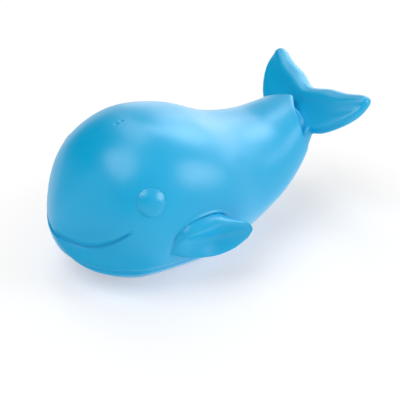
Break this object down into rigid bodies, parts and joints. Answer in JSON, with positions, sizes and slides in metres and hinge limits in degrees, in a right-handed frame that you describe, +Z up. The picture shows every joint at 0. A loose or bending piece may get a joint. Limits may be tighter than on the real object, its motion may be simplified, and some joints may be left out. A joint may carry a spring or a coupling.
{
  "type": "squeaky whale toy",
  "caption": "Hollow soft vinyl whale squeeze toy: pressing its back down over the belly drives air out through a reed squeaker underneath.",
  "frame": {"origin": "on the floor, under the middle of the whale's box", "axes": "+Z up, -Y towards the nose, +Y towards the tail, +X towards the whale's left side"},
  "size_m": [0.1076, 0.1639, 0.0789],
  "materials": {
    "soft_vinyl": "satin soft vinyl, sky blue all through",
    "eye_vinyl": "polished vinyl of the same blue",
    "white_plastic": "moulded white plastic",
    "reed_film": "thin springy film, amber"
  },
  "bodies": {
    "belly": {"belly_pan": "soft_vinyl", "squeaker_cup": "white_plastic", "squeaker_cap": "white_plastic", "reed_block": "white_plastic", "reed_clamp": "white_plastic"},
    "back": {"upper_skin": "soft_vinyl", "left_flipper": "soft_vinyl", "right_flipper": "soft_vinyl", "tail_flukes": "soft_vinyl", "left_eye": "eye_vinyl", "right_eye": "eye_vinyl"},
    "reed": {"reed_tongue": "reed_film"}
  },
  "joints": [
    {"name": "press", "type": "slide", "parent": "belly", "child": "back", "axis": [0, 0, -1], "range_m": [0, 0.008], "stiffness_N_per_m": 1000, "springref_m": -0.003},
    {"name": "reed_flex", "type": "hinge", "parent": "belly", "child": "reed", "pos_m": [0.00042, -0.0264, 0.0072], "axis": [0, 1, 0], "range_deg": [-2, 3], "stiffness_Nm_per_rad": 0.0007}
  ]
}
